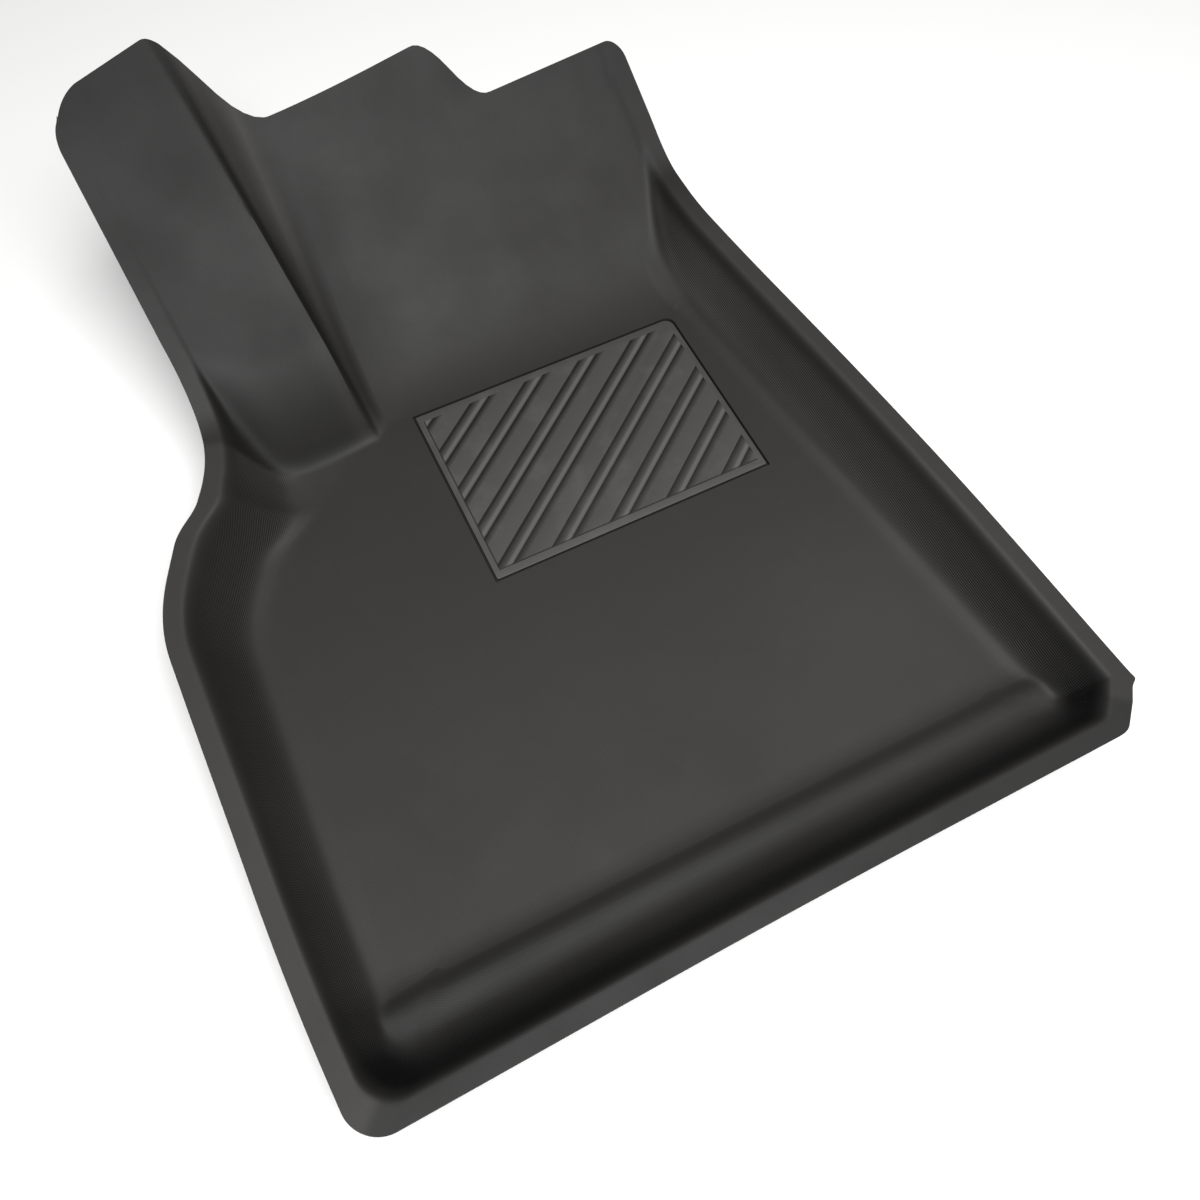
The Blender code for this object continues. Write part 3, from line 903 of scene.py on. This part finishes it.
def show(name: str, mesh: bpy.types.Mesh, dressed: bpy.types.Material) -> bpy.types.Object:
    """Link a mesh as a piece that rides on the mat's body.

    Args:
        name: The piece's name.
        mesh: Its mesh, in metres in the row's frame.
        dressed: Its material.

    Returns:
        The new object.
    """
    mesh.materials.append(dressed)
    piece = bpy.data.objects.new(name, mesh)
    bpy.context.scene.collection.objects.link(piece)
    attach(piece, BODY)
    LOG.info("%s: %d faces", name, len(mesh.polygons))
    return piece


class Layer(Enum):
    """The laminate's sheets, from the top down: node, slot and thickness."""

    SKIN = ("wear_skin", "skin", 0.8)
    CORE = ("foam_core", "foam", 3.2)
    FELT = ("backing_felt", "felt", 1.0)

    def __init__(self, node: str, slot: str, thick: float) -> None:
        """Keep the sheet's facts by name."""
        self.node, self.slot, self.thick = node, slot, thick


@dataclass
class Laminate:
    """The three moulded sheets of the mat."""

    net: Net
    floor_top: float = 6.9
    recess: float = 2.2
    seam: float = 0.02

    def build(self) -> None:
        """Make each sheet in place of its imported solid."""
        finishes = {
            Layer.SKIN: GrainedSkin().material(),
            Layer.CORE: ClosedFoam().material(),
            Layer.FELT: NeedleFelt().material(),
        }
        down = 0.0
        for sheet in Layer:
            top_sunk = self.recess if sheet is not Layer.FELT else 0.0
            bottom_sunk = self.recess if sheet is Layer.SKIN else 0.0
            top = self.net.layer(down, self.floor_top, top_sunk)
            bottom = self.net.layer(down + sheet.thick, self.floor_top, bottom_sunk)
            mesh = self.closed_sheet(f"{sheet.node}_sheet", top, bottom)
            piece = show(f"{sheet.node}_sheet", mesh, finishes[sheet])
            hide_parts(sheet.node)
            down += sheet.thick + self.seam

    def closed_sheet(self, name: str, top: Array, bottom: Array) -> bpy.types.Mesh:
        """A closed sheet between two nets.

        Args:
            name: The mesh's name.
            top: Points of the upper net, in millimetres.
            bottom: Points of the lower net.

        Returns:
            The mesh, with a UV layer of distances along the sheet.
        """
        rows, columns = top.shape[:2]
        index = np.arange(rows * columns).reshape(rows, columns)
        quads = np.stack((index[:-1, :-1], index[:-1, 1:], index[1:, 1:], index[1:, :-1]), -1)
        upper = quads.reshape(-1, 4)
        lower = upper[:, ::-1] + rows * columns
        ring = np.concatenate((index[0, :-1], index[:-1, -1], index[-1, :0:-1], index[:0:-1, 0]))
        after = np.roll(ring, -1)
        side = np.stack((ring, ring + rows * columns, after + rows * columns, after), -1)
        mesh = bpy.data.meshes.new(name)
        points = np.concatenate((top.reshape(-1, 3), bottom.reshape(-1, 3))) * MM
        faces = np.concatenate((upper, lower, side))
        mesh.from_pydata(points.tolist(), [], faces.tolist())
        run = np.tile(self.net.cloth_coordinates().reshape(-1, 2) * MM, (2, 1))
        layer = mesh.uv_layers.new(name="sheet")
        layer.data.foreach_set("uv", run[faces.reshape(-1)].reshape(-1))
        # The shade attribute carries painted light and shade into the skin's colour; grain sets the emboss's
        # depth.
        for title, values in (("shade", self.net.shade()), ("grain", 0.06 + 0.94 * self.net.on_wall())):
            layer = mesh.attributes.new(title, "FLOAT", "POINT")
            layer.data.foreach_set("value", np.tile(values.reshape(-1), 2))
        mesh.validate()
        mesh.shade_smooth()
        mesh.set_sharp_from_angle(angle=math.radians(40))
        return mesh


@dataclass(frozen=True)
class RibLayout:
    """Wide bars and narrow ridges that slant across the heel pad, with sawtooth grooves between."""

    centre: tuple[float, float] = (58.5, 26.5)
    slant: float = math.radians(38)
    pitch: float = 31.5
    first_bar: float = -10.4
    bar: float = 14.8
    ridge: float = 4.6
    depth: float = 1.3
    inner: tuple[float, float] = (117.0, 79.0)
    bars: int = 4

    def grooves(self) -> list[tuple[float, float]]:
        """Where every groove starts and ends, measured across the ribs."""
        found = []
        for index in range(-self.bars, self.bars + 1):
            bar = self.first_bar + index * self.pitch
            ridge = bar + self.pitch / 2
            found.append((bar + self.bar / 2, ridge - self.ridge / 2))
            found.append((ridge + self.ridge / 2, bar + self.pitch - self.bar / 2))
        return found


@dataclass
class HeelPad:
    """The ribbed pad: one plate with slanting grooves inside a plain frame."""

    net: Net
    layout: RibLayout = RibLayout()
    floor_top: float = 6.9
    recess: float = 2.2
    gap: float = 0.05
    clear: float = 1.4
    thick: float = 2.15
    corner: float = 1.5
    front_right: float = 8.0
    slit: float = 1.1
    reach: float = 160.0

    def build(self) -> None:
        """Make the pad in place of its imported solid."""
        bottom = self.floor_top - self.recess + self.gap
        top = bottom + self.thick
        half = [size / 2 - self.clear for size in self.net.pad_size]
        outline = self.rounded(half[0], half[1], self.corner, 6, self.front_right)
        plate = self.solid("plate", outline, bottom, top)
        self.soften(plate.data, top)
        inner = self.layout.inner
        grooves = self.groove_block(top)
        limit = self.solid("limit", self.rounded(*inner, 1.2), bottom, top + 4)
        self.combine(grooves, limit, "INTERSECT")
        self.combine(plate, grooves, "DIFFERENCE")
        for name, low, high in (
            ("left", (-inner[0], -inner[1]), (-inner[0] + self.slit, inner[1])),
            ("rear", (-inner[0], -inner[1]), (inner[0], -inner[1] + self.slit)),
        ):
            corners = [(low[0], low[1]), (high[0], low[1]), (high[0], high[1]), (low[0], high[1])]
            slit = self.solid(name, corners, top - self.layout.depth * 0.75, top + 4)
            self.combine(plate, slit, "DIFFERENCE")
        mesh = plate.data
        bpy.data.objects.remove(plate)
        mesh.transform(Matrix.Translation((*(k * MM for k in self.layout.centre), 0.0)))
        mesh.shade_smooth()
        mesh.set_sharp_from_angle(angle=math.radians(28))
        piece = show("heel_pad_ribbed", mesh, PadRubber().material(self.layout, top))
        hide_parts("heel_pad")

    @staticmethod
    def soften(mesh: bpy.types.Mesh, top: float) -> None:
        """Round the plate's upper edge over."""
        body = bmesh.new()
        body.from_mesh(mesh)
        rim = [edge for edge in body.edges if all(vert.co.z > (top - 0.01) * MM for vert in edge.verts)]
        bmesh.ops.bevel(body, geom=rim, offset=0.5 * MM, segments=3, profile=0.5, affect="EDGES")
        body.to_mesh(mesh)
        body.free()

    @staticmethod
    def rounded(
        half_x: float, half_y: float, radius: float, steps: int = 6, first: float | None = None
    ) -> list[tuple[float, float]]:
        """A rectangle with round corners, anticlockwise.

        Args:
            half_x: Half its width.
            half_y: Half its depth.
            radius: Radius of its corners.
            steps: Segments in each corner.
            first: Radius of the front right corner, where it differs.

        Returns:
            The outline's points.
        """
        points = []
        for turn, (sx, sy) in enumerate(((1, 1), (-1, 1), (-1, -1), (1, -1))):
            bend = first if first and turn == 0 else radius
            for step in range(steps + 1):
                angle = math.radians(90) * (turn + step / steps)
                x = sx * (half_x - bend) + bend * math.cos(angle)
                points.append((x, sy * (half_y - bend) + bend * math.sin(angle)))
        return points

    @staticmethod
    def solid(name: str, outline: list[tuple[float, float]], bottom: float, top: float) -> bpy.types.Object:
        """A straight prism over a plan outline."""
        body = bmesh.new()
        base = body.faces.new([body.verts.new((x * MM, y * MM, bottom * MM)) for x, y in outline])
        raised = bmesh.ops.extrude_face_region(body, geom=[base])["geom"]
        moved = [item for item in raised if isinstance(item, bmesh.types.BMVert)]
        bmesh.ops.translate(body, verts=moved, vec=(0, 0, (top - bottom) * MM))
        return HeelPad.block(name, body)

    @staticmethod
    def block(name: str, body: bmesh.types.BMesh) -> bpy.types.Object:
        """Turn a closed mesh into a linked object, with its faces turned outwards."""
        bmesh.ops.recalc_face_normals(body, faces=body.faces)
        mesh = bpy.data.meshes.new(name)
        body.to_mesh(mesh)
        body.free()
        made = bpy.data.objects.new(name, mesh)
        bpy.context.scene.collection.objects.link(made)
        return made

    def groove_block(self, top: float) -> bpy.types.Object:
        """One long block whose underside carries the sawtooth of every groove."""
        layout, above = self.layout, top + 0.3
        along = Vector((math.cos(layout.slant), math.sin(layout.slant)))
        across = Vector((-along.y, along.x))
        outline = []
        for start, end in layout.grooves():
            outline += [(start - 0.25, above), (start, top), (start + 0.8, top - 0.12 * layout.depth)]
            outline += [(end - 0.7, top - layout.depth), (end - 0.15, top - layout.depth)]
            outline += [(end, top - layout.depth + 0.15), (end, top - 0.2)]
            outline += [(end + 0.25, top), (end + 0.3, above)]
        first, last = outline[0][0] - 5, outline[-1][0] + 5
        outline = [(first, top + 3), (first, above), *outline, (last, above), (last, top + 3)]
        body = bmesh.new()
        ends = []
        for side in (-1, 1):
            ring = []
            for place, height in outline:
                spot = along * (side * self.reach) + across * place
                ring.append(body.verts.new((spot.x * MM, spot.y * MM, height * MM)))
            ends.append(ring)
        for a, b in zip(range(len(outline)), [*range(1, len(outline)), 0]):
            body.faces.new((ends[0][a], ends[0][b], ends[1][b], ends[1][a]))
        body.faces.new(ends[0][::-1])
        body.faces.new(ends[1])
        return self.block("grooves", body)

    @staticmethod
    def combine(target: bpy.types.Object, tool: bpy.types.Object, operation: str) -> None:
        """Apply a Boolean of target with tool to target's mesh, and drop the tool."""
        step = target.modifiers.new(operation.lower(), "BOOLEAN")
        step.operation, step.object, step.solver = operation, tool, "EXACT"
        graph = bpy.context.evaluated_depsgraph_get()
        mesh = bpy.data.meshes.new_from_object(target.evaluated_get(graph))
        target.modifiers.clear()
        target.data = mesh
        bpy.data.objects.remove(tool)


@dataclass
class HookPatches:
    """Strips of hook tape that the mat stands on."""

    size: tuple[float, float] = (100.0, 30.0)
    corner: float = 5.0
    thick: float = 1.6
    soften: float = 0.35

    def build(self) -> None:
        """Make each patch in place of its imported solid."""
        dressed = HookTape().material()
        nodes = sorted(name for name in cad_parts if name.startswith("hook_patch"))
        for node in nodes:
            low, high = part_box(node)
            outline = HeelPad.rounded(self.size[0] / 2, self.size[1] / 2, self.corner, 8)
            made = HeelPad.solid(node, outline, 0.0, self.thick)
            mesh = made.data
            bpy.data.objects.remove(made)
            body = bmesh.new()
            body.from_mesh(mesh)
            sharp = [edge for edge in body.edges if edge.calc_face_angle(0) > math.radians(60)]
            bmesh.ops.bevel(body, geom=sharp, offset=self.soften * MM, segments=2, affect="EDGES")
            bmesh.ops.translate(body, verts=body.verts, vec=((low + high) / 2).xy.to_3d())
            body.to_mesh(mesh)
            body.free()
            mesh.shade_smooth()
            mesh.set_sharp_from_angle(angle=math.radians(40))
            piece = show(f"{node}_tape", mesh, dressed)
            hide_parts(node)


@dataclass
class Studio:
    """Floor, lights, camera and tone."""

    eye: tuple[float, float, float] = (-160.5, -436.0, 746.9)
    elevation: float = 63.8655
    azimuth: float = -26.3603
    lens: float = 31.9455
    floor_size: float = 6.0
    key_power: float = 115.0
    key_size: float = 2.0
    key_tilt: float = 20.0
    key_distance: float = 2.6
    world: float = 0.05

    def build(self) -> None:
        """Set the studio up round the mat."""
        self.lay_floor()
        self.hang_light("key_softbox", self.key_power, self.key_size, (0.0, -math.radians(self.key_tilt)))
        self.place_camera()
        scene = bpy.context.scene
        scene.world = bpy.data.worlds.new("studio")
        scene.world.use_nodes = True
        sky = scene.world.node_tree.nodes["Background"]
        sky.inputs["Color"].default_value = (1.0, 1.0, 1.0, 1.0)
        sky.inputs["Strength"].default_value = self.world
        scene.view_settings.view_transform = "Standard"

    def lay_floor(self) -> None:
        """The pale floor, which isn't part of the object."""
        half = self.floor_size / 2
        mesh = bpy.data.meshes.new("studio_floor")
        corners = [(-half, -half, 0), (half, -half, 0), (half, half, 0), (-half, half, 0)]
        mesh.from_pydata(corners, [], [(0, 1, 2, 3)])
        mesh.materials.append(PaleFloor().material())
        floor = bpy.data.objects.new("studio_floor", mesh)
        bpy.context.scene.collection.objects.link(floor)

    def hang_light(self, name: str, power: float, size: float, lean: tuple[float, float]) -> None:
        """Hang a square softbox that points at the mat.

        Args:
            name: The light's name.
            power: Its power in watts.
            size: Its side in metres.
            lean: Angles off the vertical, along X and along Y.
        """
        lamp = bpy.data.lights.new(name, "AREA")
        lamp.energy, lamp.shape, lamp.size = power, "SQUARE", size
        made = bpy.data.objects.new(name, lamp)
        bpy.context.scene.collection.objects.link(made)
        towards = Vector((math.tan(lean[0]), math.tan(lean[1]), 1.0)).normalized()
        made.location = towards * self.key_distance
        made.rotation_mode = "QUATERNION"
        made.rotation_quaternion = towards.to_track_quat("Z", "Y")

    def place_camera(self) -> None:
        """Stand the camera at its eye point and aim it."""
        lens = bpy.data.cameras.new("camera")
        lens.lens, lens.sensor_width, lens.clip_start = self.lens, 36.0, 0.01
        camera = bpy.data.objects.new("camera", lens)
        bpy.context.scene.collection.objects.link(camera)
        rise, turn = math.radians(self.elevation), math.radians(self.azimuth)
        back = Vector((math.sin(turn) * math.cos(rise), -math.cos(turn) * math.cos(rise), math.sin(rise)))
        camera.location = [k * MM for k in self.eye]
        camera.rotation_mode = "QUATERNION"
        camera.rotation_quaternion = (-back).to_track_quat("-Z", "Y")
        bpy.context.scene.camera = camera


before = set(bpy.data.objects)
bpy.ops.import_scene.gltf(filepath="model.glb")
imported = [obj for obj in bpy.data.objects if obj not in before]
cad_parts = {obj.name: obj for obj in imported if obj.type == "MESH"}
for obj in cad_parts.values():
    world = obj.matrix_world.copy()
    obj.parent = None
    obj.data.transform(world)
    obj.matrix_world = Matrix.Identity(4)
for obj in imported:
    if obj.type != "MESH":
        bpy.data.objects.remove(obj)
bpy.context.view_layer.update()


def main() -> None:
    """Build every piece, then the studio."""
    logging.basicConfig(level=logging.INFO, format="%(name)s: %(message)s", stream=sys.stdout)
    net = Net()
    Laminate(net).build()
    HeelPad(net).build()
    HookPatches().build()
    Studio().build()


if __name__ == "__main__":
    main()
